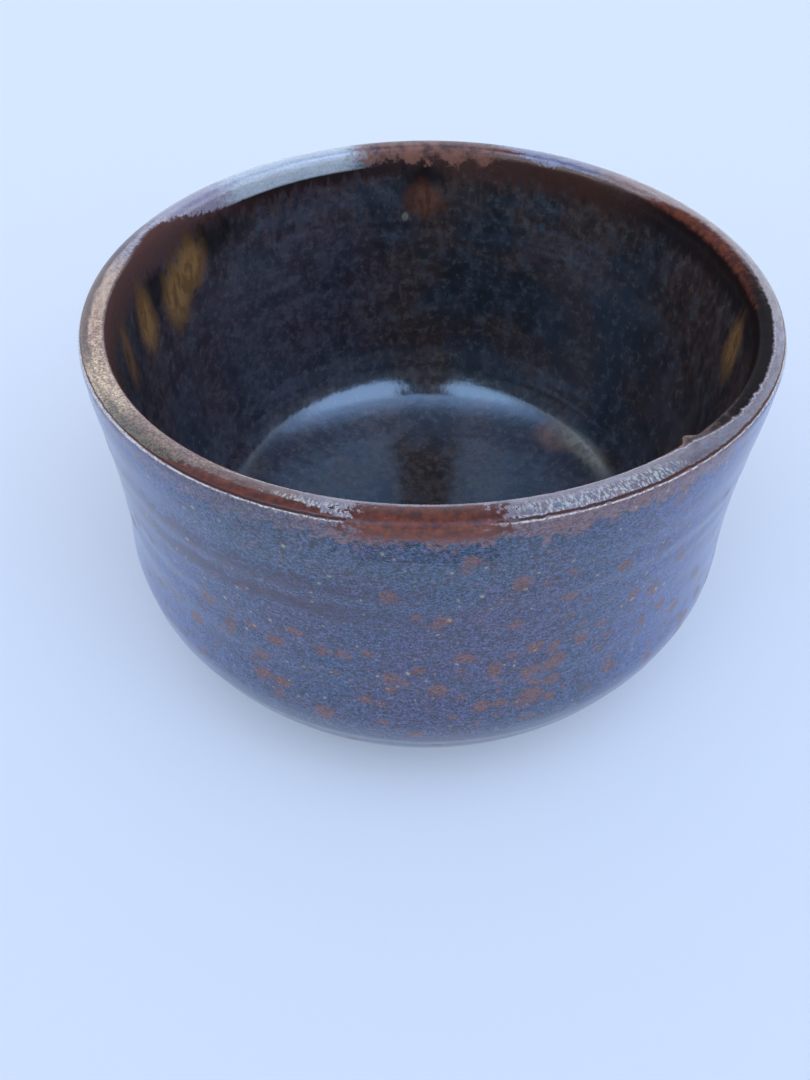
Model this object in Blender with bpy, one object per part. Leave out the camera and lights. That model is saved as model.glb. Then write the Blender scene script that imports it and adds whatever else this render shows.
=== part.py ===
"""Matcha bowl: a thrown stoneware tea bowl on a turned foot ring, with separate glaze coats.

The finished surface is one smooth outline that runs from the foot up the outside, over the lip and
down the inside to the middle of the floor. Each glaze coat is a stretch of that outline with a
thickness, and the clay body is what lies under the coats. All sizes are in millimetres.
"""

import math

import bmesh
import bpy

MM = 0.001

# Driving dimensions
BOWL_HEIGHT = 78.0
LIP_RADIUS = 60.1
INNER_LIP_RADIUS = 55.5
BELLY_RADIUS = 61.7
BELLY_HEIGHT = 31.5
FLOOR_HEIGHT = 9.5
FOOT_OUTER_RADIUS = 30.5
FOOT_INNER_RADIUS = 24.5
UNDERSIDE_HEIGHT = 6.0
GLAZE_LINE_RADIUS = 34.0
GLAZE = 0.7
GAP = 0.3

# How finely the pot is turned
SEGMENTS = 48
STEPS_PER_SPAN = 2

# Key points of the finished surface, as (radius, height), joined by a smooth curve
OUTSIDE = (
    (GLAZE_LINE_RADIUS, UNDERSIDE_HEIGHT + 0.3),
    (44.8, UNDERSIDE_HEIGHT + 1.1),
    (52.4, 10.0),
    (57.3, 16.4),
    (60.8, 25.0),
    (BELLY_RADIUS, BELLY_HEIGHT),
    (60.6, 42.0),
    (60.0, 56.0),
    (60.3, 71.0),
)
LIP = (
    (60.25, BOWL_HEIGHT - 3.2),
    (LIP_RADIUS, BOWL_HEIGHT - 1.1),
    (59.5, BOWL_HEIGHT - 0.2),
    (58.0, BOWL_HEIGHT),
    (56.3, BOWL_HEIGHT - 0.15),
    (INNER_LIP_RADIUS, BOWL_HEIGHT - 1.2),
    (55.35, BOWL_HEIGHT - 3.4),
)
# The clay's lip is rounder than the glaze over it. These points stand one glaze and gap off the clay.
ROUND_LIP = (
    (LIP_RADIUS, BOWL_HEIGHT - 2.2),
    (59.2, BOWL_HEIGHT - 0.5),
    (57.7, BOWL_HEIGHT),
    (56.3, BOWL_HEIGHT - 0.5),
    (INNER_LIP_RADIUS, BOWL_HEIGHT - 2.4),
)
INSIDE = (
    (55.2, 70.0),
    (55.0, 56.0),
    (54.5, 43.0),
    (53.3, 32.0),
    (51.6, 25.2),
    (49.8, 20.9),
    (47.6, 18.2),
    (44.5, 16.2),
    (40.0, 14.3),
    (34.0, 12.5),
    (26.0, 10.9),
    (15.0, FLOOR_HEIGHT + 0.4),
    (0.0, FLOOR_HEIGHT),
)


def clear_scene():
    for item in list(bpy.data.objects):
        bpy.data.objects.remove(item)


def finish(name, colour, roughness):
    """A plain Principled finish for one sub-part."""
    material = bpy.data.materials.new(name)
    material.use_nodes = True
    shader = material.node_tree.nodes["Principled BSDF"]
    shader.inputs["Base Color"].default_value = (*colour, 1.0)
    shader.inputs["Roughness"].default_value = roughness
    shader.inputs["Metallic"].default_value = 0.0
    material.diffuse_color = (*colour, 1.0)
    return material


def spline_point(p0, p1, p2, p3, t):
    """A point between p1 and p2 on the Catmull-Rom curve through the four points."""
    return tuple(
        0.5 * (2 * b + (c - a) * t + (2 * a - 5 * b + 4 * c - d) * t**2 + (3 * b - a - 3 * c + d) * t**3)
        for a, b, c, d in zip(p0, p1, p2, p3)
    )


def smooth_outline(points):
    """The curve through the key points, with STEPS_PER_SPAN short lines between each two."""
    padded = (points[0], *points, points[-1])
    outline = []
    for index in range(len(points) - 1):
        corners = padded[index : index + 4]
        outline += [spline_point(*corners, step / STEPS_PER_SPAN) for step in range(STEPS_PER_SPAN)]
    return outline + [points[-1]]


def inset(outline, depth):
    """The outline moved into the wall by a depth: to the left of its direction of travel."""
    moved = []
    last = len(outline) - 1
    for index, (radius, height) in enumerate(outline):
        before = outline[max(index - 1, 0)]
        after = outline[min(index + 1, last)]
        along = (after[0] - before[0], after[1] - before[1])
        length = math.hypot(*along)
        moved.append((radius - along[1] / length * depth, height + along[0] / length * depth))
    if outline[-1][0] == 0.0:
        moved[-1] = (0.0, outline[-1][1] - depth)
    return moved


def turn(name, section, material):
    """One closed body, turned round the Z axis from its half section."""
    form = bmesh.new()
    corners = [form.verts.new((radius * MM, 0.0, height * MM)) for radius, height in section]
    for first, second in zip(corners, corners[1:]):
        form.edges.new((first, second))
    if section[0][0] > 0.0:
        form.edges.new((corners[-1], corners[0]))
    bmesh.ops.spin(
        form,
        geom=form.verts[:] + form.edges[:],
        axis=(0.0, 0.0, 1.0),
        cent=(0.0, 0.0, 0.0),
        steps=SEGMENTS,
        angle=2 * math.pi,
        use_merge=True,
    )
    bmesh.ops.remove_doubles(form, verts=form.verts, dist=0.001 * MM)
    bmesh.ops.recalc_face_normals(form, faces=form.faces)
    mesh = bpy.data.meshes.new(name)
    form.to_mesh(mesh)
    form.free()
    mesh.shade_smooth()
    mesh.set_sharp_from_angle(angle=math.radians(40))
    mesh.materials.append(material)
    body = bpy.data.objects.new(name, mesh)
    bpy.context.scene.collection.objects.link(body)
    return body


def coat(name, stretch, material):
    """A glaze coat: a stretch of the finished surface, one glaze thickness deep."""
    return turn(name, stretch + inset(stretch, GLAZE)[::-1], material)


def split_outline():
    """The finished surface as its outside, lip and inside stretches, with a gap between coats."""
    outline = smooth_outline(OUTSIDE + LIP + INSIDE)
    lip_start = STEPS_PER_SPAN * (len(OUTSIDE) - 1)
    lip_end = STEPS_PER_SPAN * (len(OUTSIDE) + len(LIP))
    outside = outline[: lip_start + 1]
    lip = [lower_end(outline, lip_start, 1), *outline[lip_start + 1 : lip_end], lower_end(outline, lip_end, -1)]
    return outside, lip, outline[lip_end:]


def lower_end(outline, index, direction):
    """A point one gap along the outline from a given point, where the next coat may start."""
    here, there = outline[index], outline[index + direction]
    share = GAP / math.dist(here, there)
    return tuple(a + (b - a) * share for a, b in zip(here, there))


def clay_section():
    """The clay under the glaze, closed across its flat underside."""
    under_glaze = inset(smooth_outline(OUTSIDE + ROUND_LIP + INSIDE), GLAZE + GAP)
    underside = [(0.0, UNDERSIDE_HEIGHT), (GLAZE_LINE_RADIUS - 1.0, UNDERSIDE_HEIGHT)]
    clay = [point for point in under_glaze if point[1] > UNDERSIDE_HEIGHT + GAP]
    return underside + clay


def foot_section():
    """The foot ring: a flat face to stand on, eased edges, and a wall that flares towards the body."""
    ease = 0.8
    top = UNDERSIDE_HEIGHT - GAP
    return [
        (FOOT_INNER_RADIUS + ease, 0.0),
        (FOOT_OUTER_RADIUS - ease - 0.6, 0.0),
        (FOOT_OUTER_RADIUS - 0.6, ease),
        (FOOT_OUTER_RADIUS, top),
        (FOOT_INNER_RADIUS - 1.0, top),
        (FOOT_INNER_RADIUS, ease),
    ]


def build():
    clear_scene()
    outside, lip, inside = split_outline()
    clay = finish("fired_clay", (0.33, 0.22, 0.15), 0.85)
    turn("stoneware_body", clay_section(), clay)
    turn("foot_ring", foot_section(), clay)
    coat("outside_glaze", outside, finish("slate_blue_glaze", (0.10, 0.13, 0.26), 0.15))
    coat("inside_glaze", inside, finish("blue_black_glaze", (0.012, 0.014, 0.024), 0.12))
    coat("rim_glaze", lip, finish("rust_lilac_glaze", (0.16, 0.07, 0.05), 0.15))


build()
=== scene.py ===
"""The looks of the matcha bowl: turned clay, foot and glaze coats, materials, floor, light and camera."""

import math

import bpy
import numpy as np
from mathutils import Matrix, Vector


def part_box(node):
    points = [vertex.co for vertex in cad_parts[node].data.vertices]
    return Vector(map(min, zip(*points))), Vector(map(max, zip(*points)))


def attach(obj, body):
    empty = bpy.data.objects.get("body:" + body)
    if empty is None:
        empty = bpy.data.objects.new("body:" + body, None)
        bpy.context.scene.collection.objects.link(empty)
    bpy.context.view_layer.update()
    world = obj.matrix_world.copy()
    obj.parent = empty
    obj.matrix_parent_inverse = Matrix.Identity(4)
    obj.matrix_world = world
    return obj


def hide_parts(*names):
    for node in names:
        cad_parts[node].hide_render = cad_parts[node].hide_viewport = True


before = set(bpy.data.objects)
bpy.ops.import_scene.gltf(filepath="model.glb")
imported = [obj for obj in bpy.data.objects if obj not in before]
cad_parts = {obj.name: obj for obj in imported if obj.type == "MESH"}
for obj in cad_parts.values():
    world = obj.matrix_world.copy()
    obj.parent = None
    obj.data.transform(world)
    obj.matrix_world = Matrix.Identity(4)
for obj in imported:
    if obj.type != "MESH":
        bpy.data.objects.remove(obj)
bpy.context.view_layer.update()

MM = 0.001

# ---------------------------------------------------------------- sizes in millimetres, from the frame
GLAZE = 0.7
COAT_GAP = 0.3
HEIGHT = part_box("rim_glaze")[1].z / MM
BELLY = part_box("outside_glaze")[1].x / MM
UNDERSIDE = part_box("stoneware_body")[0].z / MM
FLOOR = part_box("inside_glaze")[0].z / MM + GLAZE
FOOT_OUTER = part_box("foot_ring")[1].x / MM
FOOT_WIDTH = 6.0
FOOT_INNER = FOOT_OUTER - FOOT_WIDTH
GLAZE_LINE = FOOT_OUTER + 3.5

# The finished surface as (radius, height): up the outside from the glaze line, over the lip and down inside
OUTSIDE = (
    (GLAZE_LINE, UNDERSIDE + 0.3),
    (44.8, UNDERSIDE + 1.1),
    (52.4, 10.0),
    (57.3, 16.4),
    (60.8, 25.0),
    (BELLY, 31.5),
    (60.6, 42.0),
    (60.0, 56.0),
    (60.3, 71.0),
)
LIP = (
    (60.25, HEIGHT - 3.2),
    (60.2, HEIGHT - 1.5),
    (60.0, HEIGHT - 0.7),
    (59.5, HEIGHT - 0.2),
    (58.5, HEIGHT),
    (57.2, HEIGHT),
    (56.3, HEIGHT - 0.15),
    (55.8, HEIGHT - 0.55),
    (55.5, HEIGHT - 1.6),
    (55.35, HEIGHT - 3.4),
)
# The clay's lip is rounder than the glaze over it. These points stand one glaze and gap off the clay.
ROUND_LIP = (
    (60.1, HEIGHT - 2.2),
    (59.2, HEIGHT - 0.5),
    (57.7, HEIGHT),
    (56.3, HEIGHT - 0.5),
    (55.5, HEIGHT - 2.4),
)
INSIDE = (
    (55.2, 70.0),
    (55.0, 56.0),
    (54.5, 43.0),
    (53.3, 32.0),
    (51.6, 25.2),
    (49.8, 20.9),
    (47.6, 18.2),
    (44.5, 16.2),
    (40.0, 14.3),
    (34.0, 12.5),
    (26.0, 10.9),
    (15.0, FLOOR + 0.4),
    (0.0, FLOOR),
)
LIP_OUTER = 60.0
LIP_MIDDLE = 57.0
LIP_INNER = 55.5
WALL_INNER = 55.2

# How the hand shows: the lip's waves above WAVE_START, the pot's lean, its throwing rings and one frozen drip
WAVE_COS2, WAVE_SIN2, WAVE_COS3 = -0.56, -0.24, -0.08
WAVE_START = 18.0
LEAN = 0.012
RING_PITCH = 7.6
RING_DEPTH = 0.07
LIP_DRIP_ANGLE = math.radians(-49.0)
LIP_DRIP_BELOW = 1.2
LIP_DRIP_SIZE = 1.1

SEGMENTS = 720
PLAIN_SEGMENTS = 360
KEY_STEPS = 24
ON_AXIS = 1e-6
SHARP_EDGE = math.radians(50)


# ---------------------------------------------------------------- outline and turned meshes
def spline_points(points, steps):
    """The Catmull-Rom curve through the key points, as one array of (radius, height)."""
    keys = np.array([points[0], *points, points[-1]], float)
    t = (np.arange(steps) / steps)[:, None]
    parts = []
    for a, b, c, d in zip(keys, keys[1:], keys[2:], keys[3:]):
        squared = (2 * a - 5 * b + 4 * c - d) * t**2
        cubed = (3 * b - a - 3 * c + d) * t**3
        parts.append(0.5 * (2 * b + (c - a) * t + squared + cubed))
    return np.vstack([*parts, keys[-1:]])


def even(outline, spacing):
    """The same line with its points evenly spaced along it."""
    steps = np.hypot(*np.diff(outline, axis=0).T)
    along = np.concatenate([[0.0], np.cumsum(steps)])
    count = max(2, int(round(along[-1] / spacing)) + 1)
    wanted = np.linspace(0.0, along[-1], count)
    return np.column_stack([np.interp(wanted, along, outline[:, k]) for k in (0, 1)])


def inset(outline, depth):
    """The line moved into the wall by a depth."""
    along = np.gradient(outline, axis=0)
    along /= np.linalg.norm(along, axis=1)[:, None]
    moved = outline + depth * np.column_stack([-along[:, 1], along[:, 0]])
    moved[:, 0] = np.maximum(moved[:, 0], 0.0)
    return moved


def smoothstep(low, high, value):
    t = np.clip((value - low) / (high - low), 0.0, 1.0)
    return t * t * (3 - 2 * t)


def hand_shaped(radius, height, angle):
    """Where the potter's hands left a point of the ideal turned form, in millimetres and radians."""
    wall = smoothstep(8.0, 16.0, height) * smoothstep(HEIGHT, HEIGHT - 8.0, height)
    turn = angle / (2 * math.pi)
    phase = height / RING_PITCH + turn + 0.35 * np.sin(height * 0.19 + 2.0)
    strength = 0.55 + 0.45 * np.sin(height * 0.31 + 1.2 * np.cos(angle) + 0.5)
    ripple = strength * np.sin(2 * math.pi * phase)
    radius = radius + RING_DEPTH * ripple * wall * smoothstep(35.0, 50.0, radius)
    wave = WAVE_COS2 * np.cos(2 * angle) + WAVE_SIN2 * np.sin(2 * angle) + WAVE_COS3 * np.cos(3 * angle)
    raised = height + wave * smoothstep(WAVE_START, HEIGHT, height)
    x = radius * np.cos(angle) + LEAN * height
    y = radius * np.sin(angle)
    return x, y, raised


def band_faces(index, closed):
    """Four-sided faces between neighbouring rings. A closed section joins its last ring to its first."""
    loops = np.vstack([index, index[:1]]) if closed else index
    low, high = loops[:-1], loops[1:]
    corners = [low, np.roll(low, -1, 1), np.roll(high, -1, 1), high]
    return np.stack(corners, axis=-1).reshape(-1, 4).tolist()


def turned(name, section, relief=None, segments=SEGMENTS):
    """One closed mesh object, turned from its half section. That starts and ends on the axis, or is a loop."""
    solid_middle = section[0, 0] < ON_AXIS
    rings = section[1:-1] if solid_middle else section
    angle = np.arange(segments)[None, :] * (2 * math.pi / segments)
    radius, height = (np.repeat(rings[:, k : k + 1], segments, axis=1) for k in (0, 1))
    if relief is not None:
        radius, height = relief(radius, height, angle)
    points = np.stack(hand_shaped(radius, height, angle), axis=-1).reshape(-1, 3)
    index = np.arange(len(points)).reshape(len(rings), segments)
    faces = band_faces(index, closed=not solid_middle)
    if solid_middle:
        poles = [hand_shaped(0.0, section[end, 1], 0.0) for end in (0, -1)]
        first, last = len(points), len(points) + 1
        points = np.vstack([points, poles])
        faces += [(first, int(b), int(a)) for a, b in zip(index[0], np.roll(index[0], -1))]
        faces += [(last, int(a), int(b)) for a, b in zip(index[-1], np.roll(index[-1], -1))]
    mesh = bpy.data.meshes.new(name)
    mesh.from_pydata((points * MM).tolist(), [], faces)
    mesh.shade_smooth()
    mesh.set_sharp_from_angle(angle=SHARP_EDGE)
    piece = bpy.data.objects.new(name, mesh)
    bpy.context.scene.collection.objects.link(piece)
    return piece


def lip_relief(radius, height, angle):
    """A small frozen drip on the lip's inner edge."""
    arc = (angle - LIP_DRIP_ANGLE + math.pi) % (2 * math.pi) - math.pi
    across = arc * LIP_INNER / LIP_DRIP_SIZE
    down = (height - (HEIGHT - LIP_DRIP_BELOW)) / LIP_DRIP_SIZE
    on_skin = smoothstep(57.6, 56.4, radius) * smoothstep(HEIGHT - 7.0, HEIGHT - 4.0, height)
    swell = np.exp(-(across**2) - down**2) * on_skin
    return radius - 1.0 * swell, height + 0.5 * swell


def coat(name, skin, spacing, relief=None):
    """A glaze coat: a fine outer skin and a coarser one against the clay, joined at their ends."""
    fine = even(skin, spacing)
    back = inset(even(skin, spacing * 4), GLAZE)[::-1]
    if skin[-1, 0] < ON_AXIS:
        back[0] = (0.0, skin[-1, 1] - GLAZE)
        return turned(name, np.vstack([back, fine]), relief)
    return turned(name, np.vstack([fine, back]), relief)


def clay_body():
    """The clay under the coats, with turned tool marks and a small button across its bare underside."""
    skin = spline_points(OUTSIDE + ROUND_LIP + INSIDE, KEY_STEPS)
    core = even(inset(skin, GLAZE + COAT_GAP), 1.5)
    core = core[core[:, 1] > UNDERSIDE + 0.4]
    core[-1, 0] = 0.0
    reach = np.arange(0.0, GLAZE_LINE, 0.35)
    fine_marks = 0.06 * np.sin(reach * 2 * math.pi / 1.9)
    broad_marks = 0.05 * np.sin(reach * 2 * math.pi / 5.3 + 1.0)
    button = -0.5 * np.exp(-((reach / 3.0) ** 2))
    under = np.column_stack([reach, UNDERSIDE + 0.12 + (fine_marks + broad_marks) + button])
    return turned("clay_body", np.vstack([under, core]), segments=PLAIN_SEGMENTS)


def foot_ring():
    """The foot: cut to shape with a tool, worn smooth on its edges, with a few fine grooves on its walls."""
    top = UNDERSIDE - COAT_GAP
    ease, outer_taper, inner_taper = 0.8, 0.6, 0.9
    groove_pitch, groove_depth = 1.3, 0.05
    corner = np.linspace(0.0, math.pi / 2, 7)
    bottom_outer = FOOT_OUTER - outer_taper - ease
    bottom_inner = FOOT_INNER + ease
    outer_ease = np.column_stack([bottom_outer + ease * np.sin(corner), ease - ease * np.cos(corner)])
    inner_ease = np.column_stack([bottom_inner - ease * np.cos(corner), ease - ease * np.sin(corner)])
    rise = np.linspace(ease, top, 24)[1:]
    risen = (rise - ease) / (top - ease)
    grooves = groove_depth * np.sin(rise * 2 * math.pi / groove_pitch)
    outer = np.column_stack([FOOT_OUTER - outer_taper + outer_taper * risen + grooves, rise])
    inner = np.column_stack([FOOT_INNER - inner_taper * risen - grooves, rise])[::-1]
    return turned("foot", np.vstack([outer_ease, outer, inner, inner_ease]), segments=PLAIN_SEGMENTS)


# ---------------------------------------------------------------- node helpers
class Nodes:
    """Short calls that add shader nodes to one node tree."""

    def __init__(self, tree):
        self.tree = tree

    def add(self, kind, inputs=(), **settings):
        node = self.tree.nodes.new(kind)
        for name, value in settings.items():
            setattr(node, name, value)
        for socket, value in dict(inputs).items():
            self.plug(node.inputs[socket], value)
        return node

    def plug(self, socket, value):
        if isinstance(value, bpy.types.NodeSocket):
            self.tree.links.new(value, socket)
        elif socket.type == "RGBA":
            socket.default_value = (*value, 1.0)
        else:
            socket.default_value = value

    def math(self, operation, a, b=0.0):
        return self.add("ShaderNodeMath", {0: a, 1: b}, operation=operation).outputs[0]

    def total(self, first, *others):
        for other in others:
            first = self.math("ADD", first, other)
        return first

    def both(self, first, *others):
        for other in others:
            first = self.math("MULTIPLY", first, other)
        return first

    def less(self, first, other):
        return self.math("SUBTRACT", first, other)

    def rest(self, share):
        """What a share from 0 to 1 leaves over."""
        return self.math("SUBTRACT", 1.0, share)

    def most(self, first, *others):
        for other in others:
            first = self.math("MAXIMUM", first, other)
        return first

    def swing(self, noise, span):
        """A noise from 0 to 1, turned into a shift either way that spans so much in all."""
        return self.both(self.less(noise, 0.5), span)

    def step(self, value, low, high):
        """0 on low's side, 1 on high's side, smooth between. low may be the larger."""
        inputs = {"Value": value, "From Min": low, "From Max": high}
        return self.add("ShaderNodeMapRange", inputs, interpolation_type="SMOOTHSTEP").outputs["Result"]

    def blend(self, share, a, b, how="MIX"):
        mix = {0: share, 6: a, 7: b}
        return self.add("ShaderNodeMix", mix, data_type="RGBA", blend_type=how).outputs[2]

    def stretched(self, vector, scale):
        return self.add("ShaderNodeVectorMath", {0: vector, 1: scale}, operation="MULTIPLY").outputs[0]

    def noise(self, vector, scale, detail=2.0, roughness=0.5):
        inputs = {"Vector": vector, "Scale": scale, "Detail": detail, "Roughness": roughness}
        return self.add("ShaderNodeTexNoise", inputs).outputs["Fac"]

    def cells(self, vector, scale):
        """Distance to the nearest of many scattered points, and a random number for that point."""
        node = self.add("ShaderNodeTexVoronoi", {"Vector": vector, "Scale": scale})
        parts = self.add("ShaderNodeSeparateColor", {0: node.outputs["Color"]})
        return node.outputs["Distance"], parts.outputs[0]


class Place:
    """Where a shaded point lies on the pot, in millimetres, with the lean and the lip's waves taken out."""

    def __init__(self, n):
        self.n = n
        self.point = n.stretched(n.add("ShaderNodeTexCoord").outputs["Object"], (1 / MM, 1 / MM, 1 / MM))
        x, self.y, z = n.add("ShaderNodeSeparateXYZ", {0: self.point}).outputs
        self.x = n.less(x, n.both(z, LEAN))
        x_squared = n.both(self.x, self.x)
        y_squared = n.both(self.y, self.y)
        squares = n.total(x_squared, y_squared)
        self.radius = n.math("SQRT", squares)
        cos2 = n.math("DIVIDE", n.less(x_squared, y_squared), squares)
        sin2 = n.math("DIVIDE", n.both(self.x, self.y, 2.0), squares)
        wave = n.total(n.both(cos2, WAVE_COS2), n.both(sin2, WAVE_SIN2))
        self.height = n.less(z, n.both(wave, n.step(z, WAVE_START, HEIGHT)))

    def facing(self, degrees):
        """The cosine of the angle round the pot between this point and a direction."""
        angle = math.radians(degrees)
        n = self.n
        along = n.total(n.both(self.x, math.cos(angle)), n.both(self.y, math.sin(angle)))
        return n.math("DIVIDE", along, self.radius)

    def sector(self, middle, half, ragged, soft):
        """1 within so many degrees of a direction, with its ends made ragged by a noise from 0 to 1."""
        wobble = self.n.swing(ragged, 0.35 * math.sin(math.radians(half)))
        near, far = (math.cos(math.radians(half + end)) for end in (-soft, soft))
        return self.n.step(self.n.total(self.facing(middle), wobble), far, near)

    def mark(self, degrees, radius, height, wide, tall, ragged):
        """1 inside a soft, ragged ellipse on the pot's skin. wide and tall are its half sizes."""
        n = self.n
        angle = math.radians(degrees)
        across = n.less(n.both(self.y, math.cos(angle)), n.both(self.x, math.sin(angle)))
        across = n.both(across, 1 / wide)
        out = n.both(n.less(self.radius, radius), 1 / tall)
        up = n.both(n.less(self.height, height), 1 / tall)
        away = n.math("SQRT", n.total(n.both(across, across), n.both(out, out), n.both(up, up)))
        away = n.total(away, n.swing(ragged, 1.6))
        return n.both(n.step(away, 1.50, 0.50), n.step(self.facing(degrees), 0.0, 0.3))

    def on_lip(self, around, over, across):
        """A point of the lip for a noise: its place round the pot and across the lip, each scaled."""
        n = self.n
        width = LIP_MIDDLE * around
        east = n.both(n.math("DIVIDE", self.x, self.radius), width)
        north = n.both(n.math("DIVIDE", self.y, self.radius), width)
        return n.add("ShaderNodeCombineXYZ", {0: east, 1: north, 2: n.both(over, across)}).outputs[0]


def new_material(name):
    material = bpy.data.materials.new(name)
    material.use_nodes = True
    return material, Nodes(material.node_tree), material.node_tree.nodes["Principled BSDF"]


# ---------------------------------------------------------------- outside glaze
# In the glaze sections a direction is in degrees round the pot from +X, so that -90 is the front. A colour is
# linear red, green and blue.
DEEP_TEAL, DEEP_VIOLET = (0.024, 0.054, 0.126), (0.044, 0.046, 0.116)
SLATE_LEFT, SLATE_RIGHT = (0.072, 0.114, 0.275), (0.050, 0.096, 0.270)
# Painted sheen: the misty blues laid on the far sides of the outside glaze.
SHEEN_MIST_LEFT, SHEEN_MIST_RIGHT = (0.165, 0.255, 0.550), (0.112, 0.212, 0.560)
FRONT_TEAL = (0.024, 0.068, 0.112)
PLUM = (0.058, 0.036, 0.070)
DARK_GRAIN = (0.009, 0.008, 0.012)
FLECK_BLUE, FLECK_VIOLET = (0.088, 0.140, 0.228), (0.118, 0.108, 0.190)
THROWING_DARK = (0.030, 0.014, 0.036)
BLOTCH_DARK, BLOTCH_LIGHT = (0.092, 0.044, 0.046), (0.172, 0.080, 0.068)
EDGE_DARK, EDGE_LIGHT = (0.080, 0.040, 0.048), (0.210, 0.105, 0.090)
CREAM_SPECK = (0.31, 0.24, 0.13)

# The largest rust blotches: direction, height, and half sizes round the pot and up it
RUST_SPOTS = (
    (-87.5, 41.0, 1.7, 1.6),
    (-79.0, 45.0, 1.1, 1.9),
    (-73.0, 36.5, 2.4, 2.2),
    (-94.0, 44.0, 1.6, 1.3),
    (-70.0, 43.5, 1.5, 1.2),
    (-74.0, 43.0, 1.0, 1.6),
    (-115.5, 41.5, 1.4, 1.2),
    (-96.0, 37.0, 1.3, 0.8),
    (-88.0, 57.0, 1.3, 1.0),
    (-82.0, 57.5, 1.2, 0.9),
    (-84.5, 69.0, 0.9, 0.8),
)


def outside_colour(n, place):
    """Slate blue, densely grained, with cream specks, rust blotches, dark throwing lines and a painted sheen
    at the sides.

    Returns the colour, the fine grain, and how matt the glaze is from 0 to 1."""
    point = place.point
    ragged = n.noise(point, 0.5, 3.0)
    colour, deep = outside_ground(n, place, ragged)
    patchy = n.noise(n.stretched(point, (1.0, 1.0, 2.2)), 0.26, 5.0, 0.65)
    colour = n.blend(n.both(n.step(patchy, 0.50, 0.66), 0.75), colour, PLUM)
    grain = n.noise(n.stretched(point, (1.0, 1.0, 1.3)), 2.3, 3.0, 0.85)
    coarse = n.noise(n.stretched(point, (1.0, 1.0, 1.6)), 0.9, 2.0, 0.6)
    mixed = n.total(grain, n.swing(coarse, 0.35))
    dark = n.both(n.step(mixed, 0.51, 0.42), n.total(n.both(deep, 0.45), 0.50))
    colour = n.blend(dark, colour, DARK_GRAIN)
    light = n.both(n.step(mixed, 0.54, 0.63), 0.90)
    flecks = n.blend(n.step(coarse, 0.42, 0.58), FLECK_BLUE, FLECK_VIOLET)
    colour = n.blend(light, colour, flecks)
    colour = n.blend(throwing_lines(n, place, patchy, ragged), colour, THROWING_DARK)
    grained = n.total(n.both(n.step(grain, 0.34, 0.52), 0.32), 0.62)
    rusty = n.both(rust_blotches(n, place, ragged), grained)
    colour = n.blend(rusty, colour, n.blend(n.step(mixed, 0.36, 0.60), BLOTCH_DARK, BLOTCH_LIGHT))
    edge = n.blend(n.step(mixed, 0.36, 0.60), EDGE_DARK, EDGE_LIGHT)
    colour = n.blend(broken_edge(n, place, ragged, coarse), colour, edge)
    matt = n.most(n.both(rusty, 0.40), n.both(n.step(place.height, 15.0, 8.0), 0.95))
    return n.blend(cream_specks(n, place, grain, coarse), colour, CREAM_SPECK), grain, matt


def outside_ground(n, place, ragged):
    """The broad colour: deep blue in front and behind, slate at the sides, a painted misty sheen further
    round. Also the deep share.
    """
    front = place.sector(-91.0, 31.0, ragged, 15.0)
    rear = place.sector(89.0, 66.0, ragged, 16.0)
    drift = n.noise(place.point, 0.055, 3.0)
    colour = n.blend(n.step(drift, 0.42, 0.60), DEEP_TEAL, DEEP_VIOLET)
    rightward = n.step(place.x, -12.0, 12.0)
    sides = n.both(n.rest(front), n.rest(rear))
    colour = n.blend(n.both(sides, 0.80), colour, n.blend(rightward, SLATE_LEFT, SLATE_RIGHT))
    # Painted sheen: the far sides turn a misty blue.
    sheen_sides = n.both(n.rest(place.sector(-91.0, 58.0, ragged, 12.0)), n.rest(rear))
    colour = n.blend(n.both(sheen_sides, 0.75), colour, n.blend(rightward, SHEEN_MIST_LEFT, SHEEN_MIST_RIGHT))
    teal = n.both(place.sector(-97.0, 22.0, ragged, 8.0), n.step(place.height, 58.0, 70.0))
    colour = n.blend(n.both(teal, 0.6), colour, FRONT_TEAL)
    return colour, n.most(front, rear)


def throwing_lines(n, place, patchy, ragged):
    """Two dark purple bands where the glaze pulled off a throwing ridge, on the front left."""
    height = n.total(place.height, n.swing(ragged, 3.0))
    upper = n.both(n.step(height, 61.0, 62.8), n.step(height, 65.8, 64.0))
    lower = n.both(n.step(height, 56.0, 57.8), n.step(height, 61.0, 59.2))
    share = n.both(n.most(upper, lower), n.step(patchy, 0.32, 0.52))
    return n.both(share, place.sector(-126.0, 27.0, ragged, 14.0), 0.72)


def rust_blotches(n, place, lumpy):
    """Where the glaze thins to rust: small scattered blotches, most of them low, and some larger ones."""
    low = n.both(n.step(place.height, 26.0, 32.0), n.step(place.height, 60.0, 40.0))
    spot, chance = n.cells(n.stretched(place.point, (1.0, 1.0, 1.15)), 0.27)
    size = n.both(n.step(n.total(chance, n.both(low, 0.28)), 0.54, 1.12), 0.46)
    away = n.total(spot, n.swing(lumpy, 0.9))
    rust = n.step(n.less(away, size), 0.16, -0.16)
    for degrees, height, wide, tall in RUST_SPOTS:
        rust = n.most(rust, place.mark(degrees, BELLY - 1.0, height, wide, tall, lumpy))
    return rust


def broken_edge(n, place, ragged, coarse):
    """The pinkish brown band just under the lip, where the glaze ran thin, with a torn lower edge."""
    torn = n.total(place.height, n.swing(ragged, 9.0), n.swing(coarse, 3.0))
    band = n.step(torn, HEIGHT - 4.2, HEIGHT - 2.8)
    strong = place.sector(-73.0, 30.0, ragged, 6.0)
    left = place.sector(-122.0, 18.0, ragged, 8.0)
    return n.both(band, n.total(n.both(strong, 0.55), n.both(left, 0.15), 0.20))


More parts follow.
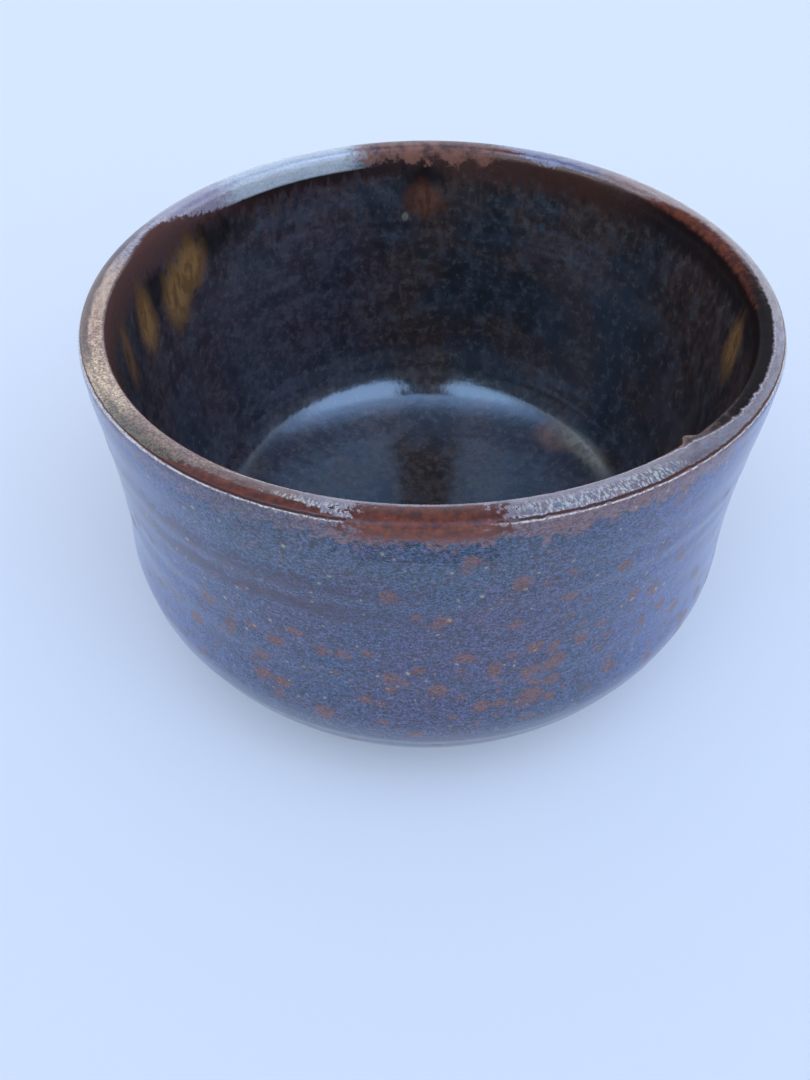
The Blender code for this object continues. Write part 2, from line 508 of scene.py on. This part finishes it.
def cream_specks(n, place, grain, coarse):
    """Specks of pale unmelted glaze, tenths of a millimetre wide, in loose clusters high on the wall."""
    speck, chance = n.cells(place.point, 0.66)
    crowd = n.noise(place.point, 0.10, 2.0)
    many = n.total(n.both(n.step(place.height, 24.0, 56.0), 0.16), n.both(n.step(crowd, 0.42, 0.62), 0.16))
    size = n.both(n.step(n.total(chance, many), 0.80, 1.34), 0.23)
    away = n.total(speck, n.swing(coarse, 0.6), n.swing(grain, 1.1))
    return n.both(n.step(n.less(away, size), 0.07, -0.09), n.step(chance, 0.55, 0.70), 0.85)


# ---------------------------------------------------------------- inside glaze
BLUE_BLACK, BROWN_BLACK = (0.028, 0.031, 0.036), (0.064, 0.036, 0.026)
LEFT_VIOLET = (0.060, 0.042, 0.056)
RIGHT_BROWN = (0.052, 0.024, 0.018)
FLOOR_PLUM, FLOOR_BROWN = (0.050, 0.034, 0.036), (0.090, 0.050, 0.030)
MOTTLE_DARK, MOTTLE_PALE = (0.012, 0.013, 0.017), (0.130, 0.116, 0.100)
PATCH_PALE, PATCH_DARK = (0.074, 0.067, 0.072), (0.016, 0.014, 0.014)
STREAK_BROWN = (0.090, 0.056, 0.040)
FRECKLE_CREAM, FRECKLE_TEAL = (0.120, 0.098, 0.060), (0.050, 0.085, 0.085)
MAROON, MAROON_BROWN, SHADED_MAROON = (0.062, 0.025, 0.018), (0.098, 0.046, 0.038), (0.012, 0.007, 0.007)
# Painted reflection: warm ochre light caught high on the inner wall, at the left and at the right.
OCHRE_REFLECTION = (0.310, 0.150, 0.048)
DULL_OCHRE_REFLECTION = (0.190, 0.090, 0.034)
BLACK_RUN = (0.010, 0.008, 0.009)
BROWN_RUN = (0.150, 0.052, 0.024)
SMOKE = (0.017, 0.013, 0.013)
CREAM_DROP = (0.300, 0.260, 0.170)
RUST_STAIN = (0.250, 0.112, 0.066)
OLIVE_STAIN = (0.300, 0.225, 0.130)

# Marks under the lip and on the floor: direction, radius, height, half sizes round and down, colour
# The ochre marks are painted reflections of warm light.
INSIDE_MARKS = (
    (147.0, WALL_INNER, HEIGHT - 8.4, 10.0, 3.6, SMOKE),
    (169.0, WALL_INNER, HEIGHT - 9.6, 9.0, 3.8, SMOKE),
    (154.0, WALL_INNER, HEIGHT - 11.0, 4.6, 5.0, OCHRE_REFLECTION),
    (160.0, WALL_INNER, HEIGHT - 14.5, 4.4, 6.5, OCHRE_REFLECTION),
    (173.0, WALL_INNER, HEIGHT - 13.0, 3.4, 6.5, OCHRE_REFLECTION),
    (186.0, WALL_INNER, HEIGHT - 12.0, 2.6, 6.5, DULL_OCHRE_REFLECTION),
    (-4.0, WALL_INNER, HEIGHT - 11.0, 3.4, 5.5, OCHRE_REFLECTION),
    (91.5, WALL_INNER, HEIGHT - 6.6, 5.0, 3.2, BLACK_RUN),
    (91.5, WALL_INNER, HEIGHT - 11.6, 4.4, 3.8, BROWN_RUN),
    (96.0, WALL_INNER, HEIGHT - 15.5, 0.7, 0.9, CREAM_DROP),
    (43.0, 45.4, 16.8, 5.2, 3.4, RUST_STAIN),
    (32.0, 47.0, 17.6, 10.0, 2.3, OLIVE_STAIN),
)


def inside_colour(n, place):
    """Blue black, softly mottled with brown, slate and olive, with runs below the lip and painted ochre
    reflections.

    Returns the colour, its mottle, and how matt the glaze is from 0 to 1."""
    cloud = n.noise(place.point, 0.06, 3.0)
    mottle = n.noise(place.point, 0.55, 4.0, 0.65)
    colour = mottled(n, place, inside_ground(n, place, cloud), mottle)
    fall = n.noise(n.stretched(place.point, (1.0, 1.0, 0.20)), 0.75, 2.0)
    streaks = n.both(n.step(place.height, 55.0, 70.0), n.step(fall, 0.52, 0.66), 0.6)
    colour = n.blend(streaks, colour, STREAK_BROWN)
    colour = freckled(n, place, colour, mottle)
    below = n.total(place.height, n.swing(fall, 7.0))
    band = n.both(n.step(below, HEIGHT - 8.0, HEIGHT - 4.5), 0.85)
    colour = n.blend(band, colour, under_lip(n, place, cloud))
    torn_black = n.both(place.sector(116.0, 20.0, cloud, 8.0), n.step(below, HEIGHT - 7.0, HEIGHT - 4.5))
    colour = n.blend(n.both(torn_black, 0.8), colour, BLACK_RUN)
    runs = n.noise(n.stretched(place.point, (1.0, 1.0, 0.45)), 0.55, 4.0, 0.6)
    for degrees, radius, height, wide, tall, tint in INSIDE_MARKS:
        deep, pale = ([part * strength for part in tint] for strength in (0.6, 1.15))
        shade = n.blend(n.step(runs, 0.40, 0.60), deep, pale)
        share = n.both(place.mark(degrees, radius, height, wide, tall, runs), 0.9)
        colour = n.blend(share, colour, shade)
    return colour, mottle, 0.0


def inside_ground(n, place, cloud):
    """The broad colour under the mottle: violet at the left, browner at the right and on the floor."""
    colour = n.blend(n.step(cloud, 0.42, 0.60), BLUE_BLACK, BROWN_BLACK)
    colour = n.blend(n.both(place.sector(142.0, 34.0, cloud, 16.0), 0.65), colour, LEFT_VIOLET)
    colour = n.blend(n.both(place.sector(-4.0, 26.0, cloud, 14.0), 0.55), colour, RIGHT_BROWN)
    floor = n.blend(n.step(cloud, 0.45, 0.55), FLOOR_PLUM, FLOOR_BROWN)
    return n.blend(n.both(n.step(place.height, 20.0, 15.5), 0.70), colour, floor)


def mottled(n, place, colour, mottle):
    """A fine mottle and larger soft patches, each both darker and paler than the ground."""
    patch = n.noise(n.stretched(place.point, (1.0, 1.0, 0.7)), 0.22, 3.0, 0.6)
    colour = n.blend(n.both(n.step(mottle, 0.54, 0.34), 0.6), colour, MOTTLE_DARK)
    colour = n.blend(n.both(n.step(patch, 0.50, 0.66), 0.5), colour, PATCH_PALE)
    colour = n.blend(n.both(n.step(patch, 0.48, 0.36), 0.5), colour, PATCH_DARK)
    return n.blend(n.both(n.step(mottle, 0.50, 0.70), 0.45), colour, MOTTLE_PALE)


def freckled(n, place, colour, mottle):
    """Sparse soft freckles on the wall, cream or teal."""
    freckle, chance = n.cells(place.point, 0.30)
    away = n.total(freckle, n.swing(mottle, 0.7))
    size = n.both(n.step(chance, 0.60, 1.0), 0.20)
    pale = n.step(n.less(away, size), 0.12, -0.08)
    tint = n.blend(n.step(chance, 0.80, 0.86), FRECKLE_CREAM, FRECKLE_TEAL)
    return n.blend(n.both(pale, n.step(place.height, 24.0, 50.0), 0.6), colour, tint)


def under_lip(n, place, cloud):
    """The thin dark glaze just inside the lip: maroon, browner at the left, and near black with painted shade
    at the right.
    """
    colour = n.blend(place.sector(172.0, 26.0, cloud, 10.0), MAROON, MAROON_BROWN)
    # Painted shade: the right side turns near black.
    return n.blend(place.sector(2.0, 38.0, cloud, 10.0), colour, SHADED_MAROON)


# ---------------------------------------------------------------- lip glaze
FRONT_RUST_LIGHT, FRONT_RUST_DARK = (0.185, 0.046, 0.022), (0.085, 0.028, 0.020)
BACK_RUST_DARK, BACK_RUST_LIGHT = (0.092, 0.043, 0.036), (0.245, 0.106, 0.070)
LEFT_RUST = (0.084, 0.036, 0.030)
SHADED_RUST = (0.009, 0.005, 0.005)
DARK_LINE = (0.050, 0.020, 0.015)
# Painted highlight: the tan to cream line along the lip's outer corner.
CORNER_HIGHLIGHT_TAN, CORNER_HIGHLIGHT_CREAM = (0.26, 0.19, 0.15), (0.62, 0.55, 0.48)
# Painted highlight: the pale line along the film's inner edge.
FILM_EDGE_HIGHLIGHT = (0.48, 0.40, 0.38)
FILM_BROWN = (0.095, 0.058, 0.048)
OLIVE_DARK, OLIVE_PALE = (0.040, 0.040, 0.026), (0.175, 0.150, 0.090)
# Painted reflection: the teal streaks on the film at the front right.
TEAL_REFLECTION = (0.075, 0.135, 0.180)
# Painted highlights: the pale glints on the film.
GLINT_PALE, GLINT_WARM = (0.68, 0.63, 0.50), (0.64, 0.47, 0.36)
# The lilac film is partly a milky glaze and partly painted reflection of the sky.
LILAC_FILM_AND_REFLECTION = (0.270, 0.215, 0.225)

# The film's colour where it isn't lilac: direction, half width in degrees, colour
# All these tints carry painted sky reflection; the pale ones at -151 and -172 are a painted highlight.
LIP_FILM_REFLECTIONS = (
    (-40.0, 20.0, (0.205, 0.160, 0.160)),
    (-117.0, 9.0, (0.190, 0.095, 0.065)),
    (-134.0, 10.0, (0.255, 0.145, 0.090)),
    (-151.0, 9.0, (0.640, 0.440, 0.260)),
    (-172.0, 13.0, (0.620, 0.390, 0.240)),
    (8.0, 18.0, (0.300, 0.225, 0.195)),
    (32.0, 18.0, (0.330, 0.215, 0.165)),
    (66.0, 12.0, (0.220, 0.215, 0.270)),
    (126.0, 21.0, (0.520, 0.550, 0.540)),
    (154.0, 14.0, (0.330, 0.280, 0.320)),
)
# How much further in the film reaches: direction, half width and softness in degrees, millimetres
FILM_LEAST_REACH = 2.5
FILM_REACHES = (
    (-86.0, 34.0, 12.0, 1.7),
    (121.0, 28.0, 14.0, 6.0),
    (50.0, 15.0, 8.0, 2.4),
    (-6.0, 34.0, 10.0, -0.45),
    (-160.0, 33.0, 8.0, 1.6),
    (66.0, 4.0, 2.0, 1.4),
)


class Lip:
    """What the lip's parts share: its noises, its bare front and back, and where its film, partly painted
    reflection, starts and ends.
    """

    def __init__(self, n, place, grain):
        self.place = place
        self.grain = grain
        self.ragged = n.noise(place.point, 0.9, 4.0, 0.65)
        self.wobble = n.swing(self.ragged, 1.6)
        self.depth = n.less(HEIGHT, place.height)
        self.over = across_lip(n, place, self.depth)
        self.bare = self.sector(-90.0, 9.8, 0.6)
        self.back = self.sector(91.0, 15.0, 5.0)
        self.runs = n.noise(place.on_lip(0.55, self.over, 0.5), 0.5, 4.0, 0.65)
        calm_back = n.both(self.sector(128.0, 34.0, 10.0), -0.45)
        self.rim = n.total(self.over, n.both(self.wobble, n.total(calm_back, 0.6)))
        reach = FILM_LEAST_REACH
        for middle, half, soft, more in FILM_REACHES:
            reach = n.total(reach, n.both(self.sector(middle, half, soft), more))
        self.reach = reach
        late = n.both(self.sector(-114.0, 10.5, 4.0), 1.4)
        self.starts = n.total(0.50, n.both(self.bare, 2.9), late)

    def sector(self, middle, half, soft):
        return self.place.sector(middle, half, self.ragged, soft)


def across_lip(n, place, depth):
    """Millimetres inwards across the lip's skin from its outer corner, negative below that corner."""
    inner_side = n.step(place.radius, 57.2, 56.2)
    outer_side = n.step(place.radius, 59.2, 59.9)
    below_corner = n.most(n.less(depth, 0.5), 0.0)
    over = n.total(n.less(LIP_OUTER, place.radius), n.both(inner_side, depth))
    return n.less(over, n.both(outer_side, below_corner))


def lip_colour(n, place):
    """Rust brown where the glaze breaks, under a lilac and tan film that is partly painted sky reflection,
    with painted shade inside at the right and a painted highlight on the outer corner.

    Returns the colour, the fine grain, and how matt the glaze is from 0 to 1."""
    outside, grain, wall_matt = outside_colour(n, place)
    inside, _, _ = inside_colour(n, place)
    lip = Lip(n, place, grain)
    rust = lip_rust(n, lip)
    colour = bare_lip(n, lip, rust, inside)
    colour = n.blend(n.step(lip.over, 0.25, 0.0), colour, outside)
    past_film = n.less(lip.rim, lip.reach)
    shaded = n.both(n.step(past_film, -0.1, 0.3), n.step(lip.over, 6.5, 3.5))
    shaded = n.both(lip.sector(-22.0, 26.0, 12.0), shaded)
    colour = n.blend(shaded, colour, SHADED_RUST)
    # The film laid over the rust is partly painted sky reflection.
    reflecting_film = n.step(n.less(lip.rim, lip.starts), -0.12, 0.12)
    reflecting_film = n.both(reflecting_film, n.step(past_film, 0.3, -0.3), n.rest(lip.back))
    colour = n.blend(n.both(reflecting_film, 0.94), colour, film_and_reflection(n, lip))
    colour, dark_line = corner_lines(n, lip, colour)
    # Painted highlight along the film's inner edge.
    colour = n.blend(film_edge_highlight(n, lip), colour, FILM_EDGE_HIGHLIGHT)
    spill = n.step(n.total(lip.depth, n.both(lip.wobble, 2.0)), 3.3, 1.9)
    spill = n.both(lip.bare, spill, n.step(lip.over, 1.2, 0.6))
    spill = n.both(spill, n.total(n.both(n.step(grain, 0.32, 0.50), 0.35), 0.65))
    unlit = n.most(lip.sector(0.0, 44.0, 12.0), lip.sector(180.0, 32.0, 12.0))
    unlit = n.both(unlit, n.step(past_film, 0.1, 0.8), n.step(lip.over, 9.0, 7.0))
    left_film = n.both(lip.sector(-170.0, 26.0, 10.0), reflecting_film, 0.7)
    matt = n.both(wall_matt, n.step(lip.over, 0.2, 0.0))
    matt = n.most(matt, n.both(spill, 0.6), n.both(lip.bare, 0.4), n.both(lip.back, 0.7))
    matt = n.most(matt, shaded, unlit, n.both(dark_line, 0.9), left_film)
    return n.blend(spill, colour, rust), grain, matt


def lip_rust(n, lip):
    """The rust brown of the bare lip: red in front, brown and streaked at the back, dull at the left."""
    rust = n.blend(n.step(lip.ragged, 0.35, 0.65), FRONT_RUST_LIGHT, FRONT_RUST_DARK)
    rust = n.blend(lip.back, rust, n.blend(n.step(lip.runs, 0.38, 0.62), BACK_RUST_DARK, BACK_RUST_LIGHT))
    return n.blend(n.both(lip.sector(180.0, 32.0, 12.0), 0.8), rust, LEFT_RUST)


def bare_lip(n, lip, rust, inside):
    """Rust across the lip, then the dark glaze under it, then the inside. At the back the rust runs down."""
    cloud = n.noise(lip.place.point, 0.06, 3.0)
    wavering = n.total(lip.over, lip.wobble)
    colour = n.blend(n.step(wavering, 5.8, 7.4), under_lip(n, lip.place, cloud), inside)
    rusted = n.total(5.0, n.both(lip.sector(12.0, 24.0, 10.0), 0.6))
    rusted = n.total(rusted, n.both(n.total(n.swing(lip.runs, 13.0), 2.4), lip.back))
    dark_side = n.both(lip.sector(-24.0, 16.0, 6.0), 2.4)
    return n.blend(n.step(n.less(n.total(wavering, dark_side), rusted), 0.6, -0.8), colour, rust)


def corner_lines(n, lip, colour):
    """A painted highlight line, tan to cream, on the lip's outer corner and a thin dark line beside it. Also
    the dark line's share.
    """
    keep = n.rest(lip.bare)
    over = n.total(lip.over, n.both(lip.wobble, 0.30))
    dark_line = n.both(n.step(over, 0.12, 0.20), n.step(over, 0.52, 0.40), keep)
    colour = n.blend(n.both(dark_line, 0.85), colour, DARK_LINE)
    whole = n.most(lip.sector(-158.0, 26.0, 12.0), lip.sector(-8.0, 22.0, 10.0))
    wider = n.both(whole, 0.20)
    outer_end = n.step(n.total(over, wider), -0.22, -0.12)
    inner_end = n.step(n.less(over, wider), 0.16, 0.06)
    broken = n.most(n.step(lip.ragged, 0.36, 0.54), whole)
    # Painted highlight along the outer corner.
    corner_highlight = n.both(outer_end, inner_end, keep, broken)
    highlight_tone = n.blend(n.step(lip.grain, 0.38, 0.60), CORNER_HIGHLIGHT_TAN, CORNER_HIGHLIGHT_CREAM)
    return n.blend(corner_highlight, colour, highlight_tone), dark_line


def film_edge_highlight(n, lip):
    """The share of the painted highlight, a pale broken line along the film's inner edge, strongest in front.
    """
    from_edge = n.math("ABSOLUTE", n.total(lip.rim, n.both(lip.reach, -1.0), 0.12))
    from_edge = n.total(from_edge, n.both(lip.sector(-88.0, 32.0, 12.0), -0.10))
    strength = n.total(n.both(lip.sector(-65.0, 57.0, 12.0), 0.70), 0.05)
    return n.both(n.step(from_edge, 0.16, 0.05), n.step(lip.grain, 0.38, 0.54), strength)


def film_and_reflection(n, lip):
    """The thin milky glaze along the lip, partly painted sky reflection, streaked, with painted teal
    reflections and glints. Its colour changes round the pot.
    """
    over, grain = lip.over, lip.grain
    film = LILAC_FILM_AND_REFLECTION
    for middle, half, tint in LIP_FILM_REFLECTIONS:
        film = n.blend(lip.sector(middle, half, 5.0), film, tint)
    streak = n.noise(lip.place.on_lip(0.45, over, 1.6), 0.8, 3.0, 0.6)
    for shade in film_shades(n, lip, streak):
        film = n.blend(1.0, film, shade, how="MULTIPLY")
    brown_edge = n.step(n.total(over, n.both(streak, 1.2)), 2.9, 2.1)
    brown_edge = n.both(lip.sector(-178.0, 22.0, 6.0), brown_edge, 0.8)
    film = n.blend(brown_edge, film, FILM_BROWN)
    olive = n.step(n.total(over, n.both(lip.ragged, 0.8)), 2.9, 1.7)
    olive = n.both(lip.sector(-134.0, 11.0, 5.0), olive, 0.75)
    film = n.blend(olive, film, n.blend(n.step(grain, 0.40, 0.60), OLIVE_DARK, OLIVE_PALE))
    # Painted reflection: teal streaks on the film.
    teal = n.both(lip.sector(-52.0, 26.0, 6.0), n.step(streak, 0.52, 0.62), n.step(over, 2.6, 1.6), 0.6)
    return glinting(n, lip, n.blend(teal, film, TEAL_REFLECTION))


def film_shades(n, lip, streak):
    """Two shades to multiply the film by: streaks, calm at the back left, and a grain, coarse at the left."""
    soft = n.blend(n.step(streak, 0.36, 0.64), (0.77, 0.74, 0.77), (1.14, 1.15, 1.16))
    soft = n.blend(n.both(lip.sector(126.0, 34.0, 12.0), 0.65), soft, (1.0, 1.0, 1.0))
    fine = n.blend(n.step(lip.grain, 0.30, 0.70), (0.80, 0.78, 0.78), (1.16, 1.17, 1.18))
    gritty = n.blend(n.step(lip.grain, 0.40, 0.60), (0.52, 0.47, 0.46), (1.45, 1.42, 1.36))
    return soft, n.blend(lip.sector(-143.0, 24.0, 8.0), fine, gritty)


def glinting(n, lip, film):
    """The film with painted pale glints beside the bare front and along the lip's top at the left."""
    hatch = n.noise(lip.place.on_lip(1.1, lip.over, 0.55), 2.4, 3.0, 0.7)
    front = n.most(lip.sector(-67.0, 11.0, 4.0), lip.sector(-104.0, 6.5, 2.0))
    front = n.both(front, n.step(lip.over, 3.4, 2.0))
    top = n.both(n.step(lip.over, 1.7, 2.5), n.step(lip.over, 4.4, 3.8))
    left = n.both(lip.sector(168.0, 13.0, 6.0), top)
    # Painted highlight: the glints.
    glint = n.both(n.step(hatch, 0.46, 0.60), n.most(front, left))
    return n.blend(n.both(glint, 0.80), film, n.blend(left, GLINT_PALE, GLINT_WARM))


# ---------------------------------------------------------------- materials
def glaze(name, colour_of, index=1.75, tint=(1.0, 1.0, 1.0)):
    """A glassy glaze: its colour by place, a faint skin texture, and a gloss that softens with the grain."""
    material, n, shader = new_material(name)
    place = Place(n)
    colour, grain, matt = colour_of(n, place)
    n.plug(shader.inputs["Base Color"], colour)
    n.plug(shader.inputs["Roughness"], n.total(n.both(grain, 0.14), n.both(matt, 0.26), 0.09))
    n.plug(shader.inputs["Specular IOR Level"], n.less(0.5, n.both(matt, 0.48)))
    n.plug(shader.inputs["IOR"], index)
    n.plug(shader.inputs["Specular Tint"], tint)
    peel = n.noise(place.point, 0.30, 2.0)
    add_relief(n, shader, n.total(n.both(grain, 0.016), n.both(peel, 0.07)))
    return material


def fired_clay():
    """Bare stoneware: warm grey brown, speckled with iron, slightly gritty."""
    material, n, shader = new_material("bare_stoneware")
    place = Place(n)
    cloud = n.noise(place.point, 0.15, 4.0)
    colour = n.blend(n.step(cloud, 0.35, 0.65), (0.30, 0.19, 0.115), (0.21, 0.125, 0.080))
    grit = n.noise(place.point, 3.2, 2.0, 0.7)
    colour = n.blend(n.step(grit, 0.60, 0.72), colour, (0.06, 0.035, 0.025))
    colour = n.blend(n.step(grit, 0.36, 0.26), colour, (0.45, 0.34, 0.24))
    n.plug(shader.inputs["Base Color"], colour)
    n.plug(shader.inputs["Roughness"], n.total(n.both(grit, 0.25), 0.70))
    add_relief(n, shader, n.both(grit, 0.06))
    return material


def add_relief(n, shader, millimetres):
    bump = n.add("ShaderNodeBump", {"Height": millimetres, "Distance": MM, "Strength": 1.0})
    n.plug(shader.inputs["Normal"], bump.outputs[0])


# ---------------------------------------------------------------- floor, light, camera
FLOOR_HALF = 2.5
SKY_STRENGTH = 0.94
HORIZON = (2.4, 2.3, 2.2)
LOW_SKY = (1.12, 1.25, 1.50)
HIGH_SKY, HIGH_SKY_BEHIND = (0.160, 0.215, 0.350), (0.085, 0.105, 0.170)
GLOW, GLOW_CORE = (1.00, 1.42, 2.40), (1.75, 2.45, 3.80)
FIGURE = (0.05, 0.05, 0.06)

CAMERA_DISTANCE = 129.9
CAMERA_ABOVE_RIM = 74.2
CAMERA_PITCH = math.radians(47.52)
CAMERA_YAW = math.radians(-2.14)
CAMERA_ROLL = math.radians(-0.70)
CAMERA_LENS = 27.03


def build_floor():
    """A plain square of pale paper under the bowl."""
    corners = [(-FLOOR_HALF, -FLOOR_HALF, 0), (FLOOR_HALF, -FLOOR_HALF, 0)]
    corners += [(FLOOR_HALF, FLOOR_HALF, 0), (-FLOOR_HALF, FLOOR_HALF, 0)]
    mesh = bpy.data.meshes.new("floor")
    mesh.from_pydata(corners, [], [(0, 1, 2, 3)])
    floor = bpy.data.objects.new("floor", mesh)
    bpy.context.scene.collection.objects.link(floor)
    material, n, shader = new_material("pale_paper")
    n.plug(shader.inputs["Base Color"], (0.86, 0.81, 0.74))
    n.plug(shader.inputs["Roughness"], 0.9)
    mesh.materials.append(material)


def build_sky():
    """Soft light from all round, bright low down and bluer above.

    On the camera's side there are a glow high up and the dark figure of whoever takes the picture."""
    world = bpy.data.worlds.new("studio")
    world.use_nodes = True
    bpy.context.scene.world = world
    n = Nodes(world.node_tree)
    direction = n.add("ShaderNodeTexCoord").outputs["Generated"]
    x, y, z = n.add("ShaderNodeSeparateXYZ", {0: direction}).outputs
    high = n.blend(n.step(y, 0.15, 0.40), HIGH_SKY, HIGH_SKY_BEHIND)
    sky = n.blend(n.step(z, 0.45, 0.80), LOW_SKY, high)
    sideways = n.math("ABSOLUTE", x)
    aside = n.total(n.both(sideways, 0.22), n.both(n.most(x, 0.0), 0.15))
    toward_glow = n.total(n.both(y, -0.50), n.both(z, 0.87), aside)
    toward_core = n.total(n.both(y, -0.68), n.both(z, 0.73), aside)
    glow = n.blend(n.step(toward_core, 0.86, 0.98), GLOW, GLOW_CORE)
    sky = n.blend(n.step(toward_glow, 0.78, 1.00), sky, glow)
    beside = n.total(sideways, n.both(n.step(z, 0.45, 0.75), 0.10))
    figure = n.both(n.step(beside, 0.27, 0.21), n.step(y, -0.12, -0.25), n.step(z, 0.975, 0.93))
    sky = n.blend(figure, sky, FIGURE)
    sky = n.blend(n.both(n.step(z, 0.12, 0.03), n.step(z, -0.02, 0.0)), sky, HORIZON)
    background = world.node_tree.nodes["Background"]
    n.plug(background.inputs["Color"], sky)
    n.plug(background.inputs["Strength"], SKY_STRENGTH)


def build_camera():
    """Where the photographer stood: a phone's wide lens, close in, looking steeply down over the lip."""
    data = bpy.data.cameras.new("camera")
    data.lens = CAMERA_LENS
    data.sensor_width = 36.0
    data.clip_start = 0.01
    camera = bpy.data.objects.new("camera", data)
    bpy.context.scene.collection.objects.link(camera)
    place = Vector((LEAN * HEIGHT, -CAMERA_DISTANCE, HEIGHT + CAMERA_ABOVE_RIM)) * MM
    yaw = Matrix.Rotation(-CAMERA_YAW, 4, "Z")
    pitch = Matrix.Rotation(math.pi / 2 - CAMERA_PITCH, 4, "X")
    roll = Matrix.Rotation(CAMERA_ROLL, 4, "Z")
    camera.matrix_world = Matrix.Translation(place) @ (yaw @ pitch) @ roll
    bpy.context.scene.camera = camera


# ---------------------------------------------------------------- the pieces
def add_piece(piece, material, node):
    piece.data.materials.append(material)
    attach(piece, "root")
    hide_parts(node)


def add_coats():
    """The three coats share one outline, cut where the lip starts and ends."""
    outline = spline_points(OUTSIDE + LIP + INSIDE, KEY_STEPS)
    lip_start = KEY_STEPS * (len(OUTSIDE) - 1)
    lip_end = KEY_STEPS * (len(OUTSIDE) + len(LIP))
    outer = coat("outer_coat", outline[: lip_start + 1], 0.7)
    add_piece(outer, glaze("slate_blue_glaze", outside_colour), "outside_glaze")
    inner = coat("inner_coat", outline[lip_end:], 0.9)
    inner_glaze = glaze("blue_black_glaze", inside_colour, index=2.1, tint=(0.78, 0.92, 1.0))
    add_piece(inner, inner_glaze, "inside_glaze")
    lip = coat("lip_coat", outline[lip_start : lip_end + 1], 0.25, lip_relief)
    add_piece(lip, glaze("broken_rim_glaze", lip_colour), "rim_glaze")


bpy.context.scene.view_settings.view_transform = "Standard"
build_camera()
build_sky()
build_floor()
clay = fired_clay()
add_piece(clay_body(), clay, "stoneware_body")
add_piece(foot_ring(), clay, "foot_ring")
add_coats()
